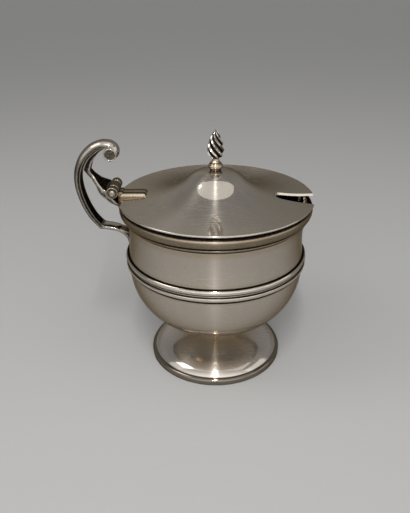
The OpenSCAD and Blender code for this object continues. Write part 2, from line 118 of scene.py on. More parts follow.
def splitAxes(place):
    split = place.node("ShaderNodeSeparateXYZ", None, {0: place}).socket.node
    return [Wire(place.tree, part) for part in split.outputs]


# 6, 7 and out 2 are the Mix node's colour sockets
def mixTones(share, first, second):
    return share.node("ShaderNodeMix", {"data_type": "RGBA"}, {0: share, 6: first, 7: second}, out=2)


def dimmed(colour, share):
    return tuple(c * share for c in colour[:3]) + (1,)


# polished silver: tone, brown tarnish, black tarnish and painted shade, hairline scratches and the marks
# of the polishing mop
silverLook = {
    "tone": (0.68, 0.62, 0.545, 1),
    "rim": (0.40, 0.34, 0.26, 1),  # old silver dulls towards its outline
    "brown": (0.40, 0.30, 0.17, 1),
    "black": (0.014, 0.012, 0.010, 1),
    "cloud": (95, 5.0, 0.6), "speck": (1400, 3.0, 0.7), "pits": (2600, 2.0),  # scale, detail, roughness
    "lineEdge": 3.0,
    "stainLeast": 0.4, "stainSpeck": 0.5,
    "dirtShadeLeast": 0.9, "dirtShadeCloud": 0.25, "dirtShadeSpeck": 0.5, "dirtShadePit": 0.8,
    "hair": (2600, 2.0), "hairDraw": (0.035, 1.0, 1.0), "hairFrom": 0.60, "hairGain": 6.0,
    "hairTurns": ((0.3, 0.1, 0.5), (1.2, 0.4, 2.0), (0.2, 1.3, 1.1)),
    "patchFrom": 0.42, "patchGain": 3.0,
    "rough": {"cloud": 0.05, "stain": 0.14, "dirtAndShade": 0.3, "speck": 0.03, "hair": 0.14},
    "height": {"hair": 0.7, "speck": 0.15, "cloud": 0.8},
    "bump": 0.25, "bumpDepth": 0.04,
    "mopRough": 0.36, "mopStretch": 1.0, "mopTurn": 0.25, "mopHair": 0.8, "mopCloud": 0.1,
}


# lines of tarnish and of painted shade across an axis, as middle, half width and strength, in millimetres
def tarnishAndShadeLines(axis, bands, first):
    total = first
    for middle, width, depth in bands:
        near = (1 - axis.away(middle * mm) / (width * mm)).clip()
        total = ((near * silverLook["lineEdge"]).clip() * depth).atLeast(total)
    return total


# noise drawn out along three directions and kept only at its peaks, in patches
def hairLines(place, cloud):
    look = silverLook
    hairs = None
    for turn in look["hairTurns"]:
        drawn = place.node("ShaderNodeMapping", None, {
            "Vector": place, "Rotation": turn, "Scale": look["hairDraw"]})
        line = ((noiseOn(drawn, *look["hair"]) - look["hairFrom"]) * look["hairGain"]).clip()
        hairs = line if hairs is None else hairs.atLeast(line)
    patch = ((cloud - look["patchFrom"]) * look["patchGain"]).clip()
    return hairs * patch


# brown lines by height are tarnish, black lines by height are tarnish and painted shade, and lines along
# X by their place in Y are painted shade of flutes; ring browns the piece from an inner to an outer
# radius, marked shows its attribute of grime and painted shade
def silverFinish(name, brown=(), black=(), fluteShade=(), ring=None, marked=0.0, grain=0.0, hair=1.0,
                 shine=0.06, tint=0.0, brushed=0.0, film=0.0, dim=1.0):
    look, dull, relief = silverLook, silverLook["rough"], silverLook["height"]
    material, shader, place = newFinish(name)
    x, y, z = splitAxes(place)
    cloud = noiseOn(place, *look["cloud"])
    speck = noiseOn(place, *look["speck"])
    hairs = hairLines(place, cloud) * hair

    stain = tarnishAndShadeLines(z, brown, tint)
    if ring:
        inner, outer, depth = ring
        radius = (x * x + y * y).sum("SQRT")
        fade = (1 - (radius - inner * mm) / ((outer - inner) * mm)).clip()
        stain = (fade * depth).atLeast(stain)
    stain = (stain * (look["stainLeast"] + cloud + (speck - 0.5) * look["stainSpeck"])).clip()

    dirtAndShade = tarnishAndShadeLines(y, fluteShade, tarnishAndShadeLines(z, black, 0.0))
    if marked:
        mark = place.node("ShaderNodeAttribute", {"attribute_name": "grime"}, out="Fac")
        dirtAndShade = (mark * marked).atLeast(dirtAndShade)
    rub = look["dirtShadeLeast"] + cloud * look["dirtShadeCloud"] + (speck - 0.5) * look["dirtShadeSpeck"]
    if grain:
        pits = noiseOn(place, *look["pits"])
        rub = rub + (pits - 0.5) * (grain * look["dirtShadePit"])
    dirtAndShade = (dirtAndShade * rub).clip()

    height = hairs * relief["hair"] + speck * relief["speck"] + cloud * relief["cloud"]
    if grain:
        height = height + pits * dirtAndShade * grain
    bump = place.node("ShaderNodeBump", None, {
        "Strength": look["bump"], "Distance": look["bumpDepth"] * mm, "Height": height})
    tone = mixTones(dirtAndShade, mixTones(stain, dimmed(look["tone"], dim), look["brown"]), look["black"])
    rough = shine + (cloud - 0.5) * dull["cloud"] + stain * dull["stain"] + dirtAndShade * dull["dirtAndShade"]
    rough = rough + (speck - 0.5) * dull["speck"]
    shader.inputs["Metallic"].default_value = 1.0
    shader.inputs["Specular Tint"].default_value = look["rim"]
    if film:
        (1 - stain * film).clip().feed(shader, "Metallic")  # dull golden patina
    tone.feed(shader, "Base Color")
    bump.feed(shader, "Normal")
    if not brushed:
        (rough + hairs * dull["hair"]).clip().feed(shader, "Roughness")
        return material

    # the mop leaves fine marks round a spun piece, which draw its lights out up and down
    rough.clip().feed(shader, "Roughness")
    mop = place.node("ShaderNodeBsdfPrincipled", None, {
        "Base Color": tone, "Metallic": 1.0, "Roughness": look["mopRough"], "Normal": bump,
        "Specular Tint": look["rim"],
        "Anisotropic": look["mopStretch"], "Anisotropic Rotation": look["mopTurn"]})
    share = (brushed + hairs * look["mopHair"] + (cloud - 0.5) * look["mopCloud"]).clip()
    plain = Wire(place.tree, shader.outputs[0])
    surface = place.node("ShaderNodeMixShader", None, {0: share, 1: plain, 2: mop})
    surface.feed(place.tree.nodes["Material Output"], "Surface")
    return material


# dark blue glass of the liner, a little wavy
glassLook = {
    "tone": (0.035, 0.07, 0.30, 1), "index": 1.5, "clear": 0.9, "rough": 0.03, "roughRipple": 0.04,
    "ripple": (160, 2.0), "bump": 0.15, "bumpDepth": 0.2,
}


def glassFinish(name):
    look = glassLook
    material, shader, place = newFinish(name)
    wave = noiseOn(place, *look["ripple"])
    bump = place.node("ShaderNodeBump", None, {
        "Strength": look["bump"], "Distance": look["bumpDepth"] * mm, "Height": wave})
    shader.inputs["Base Color"].default_value = look["tone"]
    shader.inputs["Transmission Weight"].default_value = look["clear"]
    shader.inputs["IOR"].default_value = look["index"]
    (look["rough"] + wave * look["roughRipple"]).feed(shader, "Roughness")
    bump.feed(shader, "Normal")
    return material


bowlSilver = silverFinish(
    "bowlSilver", brushed=0.28, tint=0.15, hair=0.3, dim=0.76,
    brown=[(53.6, 2.4, 0.5), (42.0, 0.9, 0.35), (36.8, 1.0, 0.35), (14.2, 2.2, 0.5)],
    # the mouth's top at 59.6 is darkened as painted shade of the gap under the lid
    black=[(59.6, 1.2, 0.35), (53.85, 0.42, 1.0), (41.6, 0.2, 0.9), (37.0, 0.45, 1.0), (13.8, 0.4, 0.8)])
mouldingSilver = silverFinish(
    "mouldingSilver", tint=0.8, shine=0.09, brushed=0.2,
    # the moulding's top under the lid's edge is painted black as the shadow of the gap, and its lower
    # half darkened as a painted dark reflection
    black=[(59.2, 1.22, 1.0), (55.7, 2.6, 0.5), (55.3, 0.7, 1.0), (53.8, 0.6, 1.0)])
reedSilver = silverFinish(
    "reedSilver", tint=0.15, brushed=0.12,
    black=[(39.05, 0.3, 1.0), (39.75, 0.3, 1.0), (37.35, 0.45, 1.0), (41.5, 0.22, 1.0)])
footSilver = silverFinish(
    "footSilver", ring=(9.5, 17.0, 0.95), brushed=0.34, film=0.45,
    brown=[(11.6, 2.6, 0.8)], black=[(13.5, 0.35, 0.8)])
footWireSilver = silverFinish(
    # the dark line along the wire's bottom edge, against the floor, is a painted contact shadow
    "footWireSilver", tint=0.15, shine=0.09, dim=0.3, black=[(0.1, 0.3, 0.9)])
lidSilver = silverFinish("lidSilver", hair=1.4, shine=0.03, brushed=0.22, tint=0.1)
handleSilver = silverFinish("handleSilver", marked=1.1, grain=1.6, shine=0.12, tint=0.15)
hingeSilver = silverFinish("hingeSilver", marked=1.0, grain=1.5, shine=0.16, tint=0.5)
plateSilver = silverFinish(
    "plateSilver", marked=0.9, shine=0.12, tint=0.7, film=0.2, hair=1.2, black=[(61.0, 4.0, 0.22)],
    # two dark lines along the plate's top are painted shade for flutes that its shape doesn't have
    fluteShade=[(-1.25, 0.75, 0.85), (1.35, 0.65, 0.85)])
finialSilver = silverFinish(
    "finialSilver", marked=1.1, shine=0.09, brown=[(70.4, 2.4, 0.8)],
    # dark lines where the finial meets the lid and in the creases by the bead are painted contact shadow
    # and shade
    black=[(68.8, 0.3, 0.9), (71.2, 0.25, 0.8), (69.25, 0.16, 0.9)])
linerGlass = glassFinish("linerGlass")
print("finishes made")


# profile helpers, in millimetres
def bent(a, b, c, d, count):
    run = geometry.interpolate_bezier(*(Vector((p[0], p[1], 0)) for p in (a, b, c, d)), count)
    return [(p.x, p.y) for p in run]


def arcRun(centre, radius, start, end, count):
    turns = (math.radians(start + (end - start) * i / (count - 1)) for i in range(count))
    return [(centre[0] + radius * math.cos(t), centre[1] + radius * math.sin(t)) for t in turns]


def rodLine(radius, low, high):
    return [(0, low), (radius, low), (radius, high), (0, high)]


def insetLine(line, gap):
    moved = []
    for i, p in enumerate(line):
        a, b = line[max(i - 1, 0)], line[min(i + 1, len(line) - 1)]
        along = Vector((b[0] - a[0], b[1] - a[1])).normalized()
        moved.append((p[0] - along.y * gap, p[1] + along.x * gap))
    return moved


meshGaps = {"spun": 1e-6, "thin": 1e-7, "cut": 2e-7}  # points closer than these are one, in metres
sharpFold = 50  # degrees between two faces past which their edge is sharp


# a profile spun once round the pot's axis, or round a line along Y through a given x and z
def spinProfile(bm, line, closed, steps, across=None):
    if across is None:
        verts = [bm.verts.new((r * mm, 0, h * mm)) for r, h in line]
        centre, axis = (0, 0, 0), (0, 0, 1)
    else:
        verts = [bm.verts.new(((across[0] + r) * mm, h * mm, across[1] * mm)) for r, h in line]
        centre, axis = (across[0] * mm, 0, across[1] * mm), (0, 1, 0)
    edges = [bm.edges.new(pair) for pair in zip(verts, verts[1:])]
    if closed:
        edges.append(bm.edges.new((verts[-1], verts[0])))
    bmesh.ops.spin(
        bm, geom=verts + edges, cent=centre, axis=axis, angle=math.tau, steps=steps, use_merge=True)
    bmesh.ops.remove_doubles(bm, verts=bm.verts, dist=meshGaps["spun"])
    bmesh.ops.dissolve_degenerate(bm, edges=bm.edges, dist=meshGaps["thin"])
    bmesh.ops.recalc_face_normals(bm, faces=bm.faces)


def sharpEdges(bm, fold):
    return [e for e in bm.edges if len(e.link_faces) == 2 and e.calc_face_angle(0) > math.radians(fold)]


def softenEdges(bm, width, segments, fold=sharpFold):
    made = bmesh.ops.bevel(
        bm, geom=sharpEdges(bm, fold), offset=width * mm, offset_type="OFFSET", affect="EDGES",
        segments=segments, profile=0.5, material=-1, clamp_overlap=True)
    return made["verts"]


# rubbed edges stay bright: they keep only a share of the grime and painted shade
def wearEdges(verts, marks, keep):
    for vert in verts:
        vert[marks] *= keep


def shadeSmooth(bm, fold):
    for face in bm.faces:
        face.smooth = True
    for edge in bm.edges:
        edge.smooth = edge.calc_face_angle(0) < math.radians(fold)


def makePiece(bm, name, fold=sharpFold):
    shadeSmooth(bm, fold)
    mesh = bpy.data.meshes.new(name)
    bm.to_mesh(mesh)
    bm.free()
    piece = bpy.data.objects.new(name, mesh)
    bpy.context.scene.collection.objects.link(piece)
    return piece


def spunCutter(name, line, closed, steps, across=None):
    bm = bmesh.new()
    spinProfile(bm, line, closed, steps, across)
    return makePiece(bm, name)


def throwAway(piece):
    spent = piece.data
    bpy.data.objects.remove(piece)
    bpy.data.meshes.remove(spent)


# takes one solid out of another and throws the cutter away
def cutAway(piece, cutter, fold=sharpFold):
    cut = piece.modifiers.new("cut", "BOOLEAN")
    cut.operation = "DIFFERENCE"
    cut.solver = "EXACT"
    cut.object = cutter
    ready = piece.evaluated_get(bpy.context.evaluated_depsgraph_get())
    mesh = bpy.data.meshes.new_from_object(ready)
    piece.modifiers.clear()
    old = piece.data
    piece.data = mesh
    mesh.name = piece.name
    bpy.data.meshes.remove(old)
    throwAway(cutter)
    bm = bmesh.new()
    bm.from_mesh(piece.data)
    bmesh.ops.remove_doubles(bm, verts=bm.verts, dist=meshGaps["cut"])
    shadeSmooth(bm, fold)
    bm.to_mesh(piece.data)
    bm.free()


def joinInto(piece, other):
    bm = bmesh.new()
    bm.from_mesh(other.data)
    bm.from_mesh(piece.data)
    bm.to_mesh(piece.data)
    bm.free()
    throwAway(other)


def seat(piece, body, node, material):
    piece.data.materials.clear()
    piece.data.materials.append(material)
    weighted = piece.modifiers.new("evenShading", "WEIGHTED_NORMAL")
    weighted.keep_sharp = True
    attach(piece, body)
    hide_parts(node)


# bowl: round belly, straight band behind the girdle, drawn-in wall, thin mouth
bowlShell = {
    "seatR": 7.2, "seatZ": 13.7, "bellyR": 22.3, "bellyZ": 36.0, "topR": 29.5, "wall": 0.9,
    "waist": 0.5, "waistLow": 41.5, "waistHigh": 54.2, "waistSteps": 24, "mouthZ": 59.5,
    "steps": 224, "edge": 0.22, "shadeFold": 40,
}


def bowlWall(inset):
    b = bowlShell
    line = arcRun((b["seatR"], b["bellyZ"]), b["bellyR"] - inset, -90, 0, count=48)
    for i in range(b["waistSteps"] + 1):
        t = i / b["waistSteps"]
        rise = b["waistLow"] + (b["waistHigh"] - b["waistLow"]) * t
        line.append((b["topR"] - 4 * b["waist"] * t * (1 - t) - inset, rise))
    line.append((b["topR"] - inset, b["mouthZ"]))
    return line


def makeBowl():
    b = bowlShell
    line = [(0, b["seatZ"])] + bowlWall(0) + bowlWall(b["wall"])[::-1] + [(0, b["seatZ"] + b["wall"])]
    bm = bmesh.new()
    spinProfile(bm, line, False, b["steps"])
    softenEdges(bm, b["edge"], segments=3)
    seat(makePiece(bm, "bowlShell", b["shadeFold"]), "pot", "bowl", bowlSilver)


# moulding round the mouth: one full swelling under the lid, a quirk and a small fillet
rimMoulding = {
    "wallR": 29.5, "letIn": 0.3, "topZ": 59.2, "bead": (29.8, 57.3), "beadR": 1.8, "bellyZ": 56.7,
    "underBelly": (31.35, 55.7), "quirkTop": (30.7, 55.3), "quirk": (30.25, 55.12),
    "beadTop": 84, "fillet": (29.9, 54.52), "filletR": 0.42, "filletTurn": 60, "footZ": 53.95,
    "steps": 224, "edge": 0.07, "bevelFold": 40, "shadeFold": 55,
}


def makeRimMoulding():
    m = rimMoulding
    full = m["bead"][0] + m["beadR"]
    back = m["wallR"] - m["letIn"]
    line = [(back, m["topZ"]), (m["wallR"], m["topZ"])]
    line += arcRun(m["bead"], m["beadR"], m["beadTop"], 0, count=24)
    belly = ((full, m["bead"][1]), (full, m["bellyZ"]), m["underBelly"], m["quirkTop"])
    line += bent(*belly, count=16)[1:]
    line += [m["quirk"]]
    line += arcRun(m["fillet"], m["filletR"], m["filletTurn"], -m["filletTurn"], count=10)
    line += [(back, m["footZ"])]
    bm = bmesh.new()
    spinProfile(bm, line, True, m["steps"])
    softenEdges(bm, m["edge"], segments=2, fold=m["bevelFold"])
    seat(makePiece(bm, "rimMoulding", m["shadeFold"]), "pot", "rim_moulding", mouldingSilver)


# girdle: two reeds with a thin bead in the groove between them
girdleReeds = {
    "wallR": 29.5, "letIn": 0.3, "reedR": 1.0, "reedTurn": 68, "low": 38.3, "high": 40.5,
    "groove": 0.35, "beadR": 0.2, "beadTurn": 80, "beadAt": (29.95, 39.4), "beadGap": 0.19, "steps": 224,
}


def makeGirdle():
    g = girdleReeds
    back = g["wallR"] - g["letIn"]
    groove = g["wallR"] + g["groove"]
    middle = g["beadAt"][1]
    line = [(back, g["low"] - g["reedR"])]
    line += arcRun((g["wallR"], g["low"]), g["reedR"], -90, g["reedTurn"], count=22)
    line += [(groove, middle - g["beadGap"])]
    line += arcRun(g["beadAt"], g["beadR"], -g["beadTurn"], g["beadTurn"], count=8)
    line += [(groove, middle + g["beadGap"])]
    line += arcRun((g["wallR"], g["high"]), g["reedR"], -g["reedTurn"], 90, count=22)
    line += [(back, g["high"] + g["reedR"])]
    bm = bmesh.new()
    spinProfile(bm, line, True, g["steps"])
    seat(makePiece(bm, "girdleReeds"), "pot", "girdle_band", reedSilver)


# spun foot: convex border, hollow neck and the flare under the bowl, open below
footSpun = {
    "flangeR": 22.3, "wireZ": 2.3, "shelfZ": 1.3, "borderPull": ((21.18, 4.0), (19.41, 4.9)),
    "border": (16.4, 5.4), "hollowPull": ((11.45, 6.28), (6.8, 7.7)), "neck": (6.5, 11.3),
    "flarePull": ((6.5, 12.26), (7.2, 12.5)), "seatR": 7.2, "seatZ": 13.7, "wall": 1.0,
    "steps": 192, "edge": 0.1, "shadeFold": 40,
}


def makeFoot():
    f = footSpun
    border = bent((f["flangeR"], f["wireZ"]), *f["borderPull"], f["border"], count=22)
    hollow = bent(f["border"], *f["hollowPull"], f["neck"], count=28)
    flare = bent(f["neck"], *f["flarePull"], (f["seatR"], f["seatZ"]), count=10)
    outside = border + hollow[1:] + flare[1:]
    inside = insetLine(outside, f["wall"])[::-1][1:]
    line = [(f["flangeR"], f["shelfZ"])] + outside + [(f["seatR"] - f["wall"], f["seatZ"])]
    line += inside + [(inside[-1][0], f["shelfZ"])]
    bm = bmesh.new()
    spinProfile(bm, line, True, f["steps"])
    softenEdges(bm, f["edge"], segments=2)
    seat(makePiece(bm, "footSpun", f["shadeFold"]), "pot", "foot", footSilver)


# wire round the foot's edge, flat below, with a shelf for the flange
footWire = {
    "innerR": 21.4, "flangeR": 22.3, "outerR": 23.5, "height": 2.3, "shelfZ": 1.3, "turnR": 0.29,
    "roundZ": 1.15, "roundPull": ((23.5, 1.955), (22.78, 2.3)),
    "steps": 224, "edge": 0.08, "shadeFold": 40,
}


def makeFootWire():
    w = footWire
    line = [(w["innerR"], 0)]
    line += arcRun((w["outerR"] - w["turnR"], w["turnR"]), w["turnR"], -90, 0, count=8)
    line += bent((w["outerR"], w["roundZ"]), *w["roundPull"], (w["flangeR"], w["height"]), count=14)
    line += [(w["flangeR"], w["shelfZ"]), (w["innerR"], w["shelfZ"])]
    bm = bmesh.new()
    spinProfile(bm, line, True, w["steps"])
    softenEdges(bm, w["edge"], segments=2)
    seat(makePiece(bm, "footWire", w["shadeFold"]), "pot", "foot_rim", footWireSilver)


# glass liner that follows the bowl's inside
glassLiner = {
    "outR": 27.6, "turnR": 20.9, "turn": (6.7, 35.5), "wall": 1.8, "floorZ": 14.6, "lipZ": 56.8,
    "steps": 160, "shadeFold": 60,
}


def makeLiner():
    g = glassLiner
    half = g["wall"] / 2
    line = [(0, g["floorZ"])] + arcRun(g["turn"], g["turnR"], -90, 0, count=36)
    line += arcRun((g["outR"] - half, g["lipZ"] - half), half, 0, 180, count=14)
    line += arcRun(g["turn"], g["turnR"] - g["wall"], 0, -90, count=36)
    line += [(0, g["floorZ"] + g["wall"])]
    bm = bmesh.new()
    spinProfile(bm, line, False, g["steps"])
    seat(makePiece(bm, "glassLiner", g["shadeFold"]), "pot", "liner", linerGlass)


makeBowl()
makeRimMoulding()
makeGirdle()
makeFoot()
makeFootWire()
makeLiner()
print("pot turned: bowl, mouldings, foot and liner")


# scroll handle, drawn from the hinge axis: outer x and z, inner x and z, width
# grime and painted shade: inner face, side next to it, side next to the back, back; the last value rounds
# the inner face
scrollHandle = {
    "hinge": (-33.0, 62.7), "width": 4.5, "crown": 1.25, "steps": 9, "edge": 0.13, "keep": 0.4,
    "tail": [(3.55, -20.9, 4.0, -19.3, 2.8), (2.71, -17.7, 3.95, -15.5, 3.65)],
    "bar": [
        (0.6, -15.7, 1.3, -13.5, 4.5), (-1.8, -14.95, -1.5, -12.6, 4.5), (-4.0, -14.6, -3.6, -12.3, 4.5)],
    "arch": [
        (-6.0, -14.4, -5.0, -12.2, 4.5), (-9.2, -10.4, -7.2, -9.3, 4.5), (-11.3, -5.9, -9.1, -5.1, 4.5),
        (-12.6, -1.0, -10.3, -0.5, 4.5), (-12.83, 3.3, -10.5, 3.5, 4.5), (-12.0, 7.5, -9.7, 6.9, 4.5)],
    "top": [(-9.9, 11.5, -8.0, 10.1, 4.5), (-6.6, 14.6, -5.4, 12.5, 4.5), (-3.0, 16.03, -2.8, 13.7, 4.5)],
    "coilReach": 4.33, "coilFrom": 90, "coilTo": -60, "coilStep": 6, "coilEase": 1.3, "coilIn": 0.75,
    # by side: the arch's and tail's sides are painted dark as shade, the top's, coil's and bar's sides
    # kept light where light falls; inner faces hold tarnish and painted shade
    "tailGrimeAndShade": (1.0, 0.9, 0.9, 0.6, 0), "barGrimeAndShade": (0.0, 0.0, 0.0, 0.05, 1),
    "archGrimeAndShade": (1.0, 0.95, 0.85, 0.7, 0), "topGrimeAndShade": (1.0, 0.85, 0.4, 0.3, 0),
    "coilGrimeAndShade": (0.9, 0.3, 0.15, 0.15, 0),
    "wallGap": 0.05, "wallFrom": 40.0, "wallSteps": 160,
}
hingeAxis = scrollHandle["hinge"]
hingeX, hingeZ = hingeAxis

# round boss at the eye of the volute, its face as radius and depth under the rim
voluteEye = {
    "at": (-0.2, 11.6), "radius": 2.05, "proud": 0.2, "steps": 64,
    "face": [
        (0, 0.12), (0.6, 0.12), (1.2, 0.13), (1.62, 0.14), (1.7, 0.08), (1.76, 0), (1.91, 0), (2.0, 0.05),
        (2.05, 0.16)],
    "discR": 1.66, "discGrimeAndShade": 0.72, "rimGrimeAndShade": 0.1,
}

# section of a bar: shares of its depth and width at which the outline turns
barSection = {
    "archMost": 0.7, "roundMost": 0.6, "upper": 0.35, "lower": 0.75,
    "across": (-1, -0.84, -0.5, 0, 0.5, 0.84, 1), "backPoints": 9, "bevelFold": 28,
}


def withGrimeAndShade(stations, grime):
    return [tuple(s) + tuple(grime) for s in stations]


# smooth curve through all the stations
def runThrough(stations, steps):
    line = []
    for i in range(len(stations) - 1):
        a, b, c, d = (Vector(stations[min(max(i + k, 0), len(stations) - 1)]) for k in (-1, 0, 1, 2))
        for j in range(steps):
            t = j / steps
            line.append(tuple(0.5 * (2 * b + (c - a) * t + (2 * a - 5 * b + 4 * c - d) * t * t
                                     + (3 * b - a - 3 * c + d) * t * t * t)))
    return line + [tuple(stations[-1])]


def coilStations():
    s, eye = scrollHandle, voluteEye
    made = []
    for a in range(s["coilFrom"], s["coilTo"] - 1, -s["coilStep"]):
        share = ((a - s["coilTo"]) / (s["coilFrom"] - s["coilTo"])) ** s["coilEase"]
        reach = eye["radius"] + (s["coilReach"] - eye["radius"]) * share
        inside = s["coilIn"] * eye["radius"]
        c, d = math.cos(math.radians(a)), math.sin(math.radians(a))
        made.append((eye["at"][0] + reach * c, eye["at"][1] + reach * d,
                     eye["at"][0] + inside * c, eye["at"][1] + inside * d, s["width"]))
    return withGrimeAndShade(made, s["coilGrimeAndShade"])


# one section of a bar: flat inner face, crisp side edges and a rounded back
def addSection(bm, marks, station, crown):
    b = barSection
    outer, inner = Vector(station[0:2]), Vector(station[2:4])
    deep = (outer - inner).length
    back = (outer - inner) / deep
    half = station[4] / 2
    face, upper, lower, rear, soft = station[5:10]
    arch = min(crown, deep * b["archMost"])
    flat = deep - arch
    bend = (half * half + arch * arch) / (2 * arch)
    sweep = math.asin(min(half / bend, 1))
    drop = flat * b["roundMost"] * min(max(soft, 0), 1)
    high, low = drop + (flat - drop) * b["upper"], drop + (flat - drop) * b["lower"]
    outline = [(drop * abs(side) ** 3, side * half, face) for side in b["across"]]
    outline += [(high, half, upper), (low, half, lower)]
    for i in range(b["backPoints"]):
        a = sweep * (1 - 2 * i / (b["backPoints"] - 1))
        outline.append((deep - bend + bend * math.cos(a), bend * math.sin(a), rear))
    outline += [(low, -half, lower), (high, -half, upper)]
    ring = bmesh.ops.create_circle(bm, segments=len(outline), radius=1)["verts"]
    for vert, (depth, side, mark) in zip(ring, outline):
        spot = inner + back * depth
        vert.co = ((hingeX + spot.x) * mm, side * mm, (hingeZ + spot.y) * mm)
        vert[marks] = min(max(mark, 0.0), 1.0)
    return ring


def bridgeRings(bm, rings):
    loops = [list({e for v in ring for e in v.link_edges}) for ring in rings]
    for a, b in zip(loops, loops[1:]):
        bmesh.ops.bridge_loops(bm, edges=a + b)
    return loops


def loftBar(bm, stations, crown, edge, keep):
    marks = bm.verts.layers.float.new("grime")
    rings = [addSection(bm, marks, s, crown) for s in stations]
    bridgeRings(bm, rings)
    for ring in (rings[0], rings[-1]):
        bmesh.ops.contextual_create(bm, geom=ring)
    bmesh.ops.recalc_face_normals(bm, faces=bm.faces)
    wearEdges(softenEdges(bm, edge, segments=3, fold=barSection["bevelFold"]), marks, keep)


def scrollLine():
    s = scrollHandle
    stations = withGrimeAndShade(s["arch"], s["archGrimeAndShade"]) + withGrimeAndShade(s["top"], s["topGrimeAndShade"])
    return runThrough(stations + [coilStations()[0]], s["steps"])


# a flat grainy disc inside a thin rim, on both sides; the disc is darkened with tarnish and painted
# shade, the rim kept light
def addEye(bm):
    eye = voluteEye
    half = scrollHandle["width"] / 2 + eye["proud"]
    face = [(r, half - drop) for r, drop in eye["face"]]
    line = [(p, -q) for p, q in face] + face[::-1]
    place = (hingeX + eye["at"][0], hingeZ + eye["at"][1])
    spinProfile(bm, line, False, eye["steps"], place)
    marks = bm.verts.layers.float.new("grime")
    for vert in bm.verts:
        off = math.hypot(vert.co.x / mm - place[0], vert.co.z / mm - place[1])
        vert[marks] = eye["discGrimeAndShade"] if off < eye["discR"] else eye["rimGrimeAndShade"]


def makeHandle():
    s, b = scrollHandle, bowlShell
    arch = scrollLine()
    foot = withGrimeAndShade(s["tail"], s["tailGrimeAndShade"]) + withGrimeAndShade(s["bar"], s["barGrimeAndShade"]) + [arch[0]]
    stations = runThrough(foot, s["steps"]) + arch[1:] + coilStations()[1:]
    bm = bmesh.new()
    loftBar(bm, stations, s["crown"], s["edge"], s["keep"])
    handle = makePiece(bm, "scrollHandle")
    wall = [(r + s["wallGap"], z) for r, z in bowlWall(0) if z >= b["waistLow"]]
    line = [(0, s["wallFrom"])] + wall + [(0, b["mouthZ"])]
    cutAway(handle, spunCutter("wallCutter", line, False, s["wallSteps"]))
    bm = bmesh.new()
    addEye(bm)
    joinInto(handle, makePiece(bm, "voluteEye"))
    seat(handle, "pot", "scroll_handle", handleSilver)


# strap: lines the inside of the arch, leaves it, widens to the barrel and ends on the rim bead
# first and last are the shares of the arch between which it lines it
hingeStrap = {
    "width": 3.6, "thick": 2.5, "taper": 0.55, "crown": 0.35, "gap": 0.05, "edge": 0.2, "keep": 0.0,
    "first": 33 / 36, "last": 20 / 36, "freeSteps": 8,
    # the lining's near side, set back from the scroll's side, is painted dark as the shade it stands in;
    # the free part's inner face is dark with tarnish and painted shade
    "liningGrimeAndShade": (0.85, 1.0, 1.0, 1.0, 0), "freeGrimeAndShade": (0.95, 0.5, 0.9, 0.9, 0),
    "free": [
        (-8.5, 5.0, -6.75, 5.5, 3.6), (-7.3, 3.6, -5.9, 4.5, 3.96), (-5.6, 1.5, -4.4, 2.6, 6.86),
        (-4.0, -0.7, -2.6, 1.2, 10.4), (-2.5, -2.2, -0.6, 0.1, 10.4), (-1.1, -3.5, 0.25, -2.3, 10.4),
        (1.2, -4.6, 2.15, -4.05, 10.4)],
    "barrelHalf": 10.4, "room": 2.1, "slot": 5.0, "slotBox": 8.0, "beadGap": 0.05,
    "lidRoom": (31.65, 59.95), "lidRoomR": 0.65, "barrelSteps": 64, "rimSteps": 160,
}

# knuckles of the hinge and the pin through them
hingeBarrel = {
    "outerR": 1.8, "bore": 0.83, "endRings": (1.1, 1.5), "endBand": 0.4, "edge": 0.16,
    "steps": 72, "gap": 0.02, "front": (-5.2, -2.5), "rear": (2.5, 5.2), "lid": (-2.4, 2.4),
    "pinR": 0.8, "pinHalf": 5.2, "pinEnd": 0.25, "pinDip": 0.01, "pinSteps": 48,
    "grime": 0.6, "endGrimeAndShade": 0.85, "endReach": 0.05, "keep": 0.3,
}


def strapStations():
    s = hingeStrap
    arch = scrollLine()
    first, last = int(s["first"] * (len(arch) - 1)), int(s["last"] * (len(arch) - 1))
    lining = []
    for i in range(first, last - 1, -1):
        outer, inner = Vector(arch[i][0:2]), Vector(arch[i][2:4])
        inward = (inner - outer).normalized()
        thick = s["thick"] * ((first + 1 - i) / (first + 1 - last)) ** s["taper"]
        a = inner + inward * s["gap"]
        b = a + inward * thick
        lining.append((a.x, a.y, b.x, b.y, s["width"]))
    lining = withGrimeAndShade(lining, s["liningGrimeAndShade"])
    free = runThrough([lining[-1]] + withGrimeAndShade(s["free"], s["freeGrimeAndShade"]), s["freeSteps"])
    return lining + free[1:]


def barrelCutter(half, steps):
    line = rodLine(hingeBarrel["outerR"] + hingeBarrel["gap"], -half, half)
    return spunCutter("barrelCutter", line, False, steps, hingeAxis)


# room for the middle knuckle and its tongue, open towards the lid
def slotCutter():
    s = hingeStrap
    box = s["slotBox"]
    bm = bmesh.new()
    bmesh.ops.create_cube(bm, size=1)
    bmesh.ops.scale(bm, vec=(box * mm, s["slot"] * mm, box * mm), verts=bm.verts)
    place = Vector((hingeX + box / 2, 0, hingeZ - s["room"] + box / 2))
    bmesh.ops.translate(bm, vec=place * mm, verts=bm.verts)
    return makePiece(bm, "slotCutter")


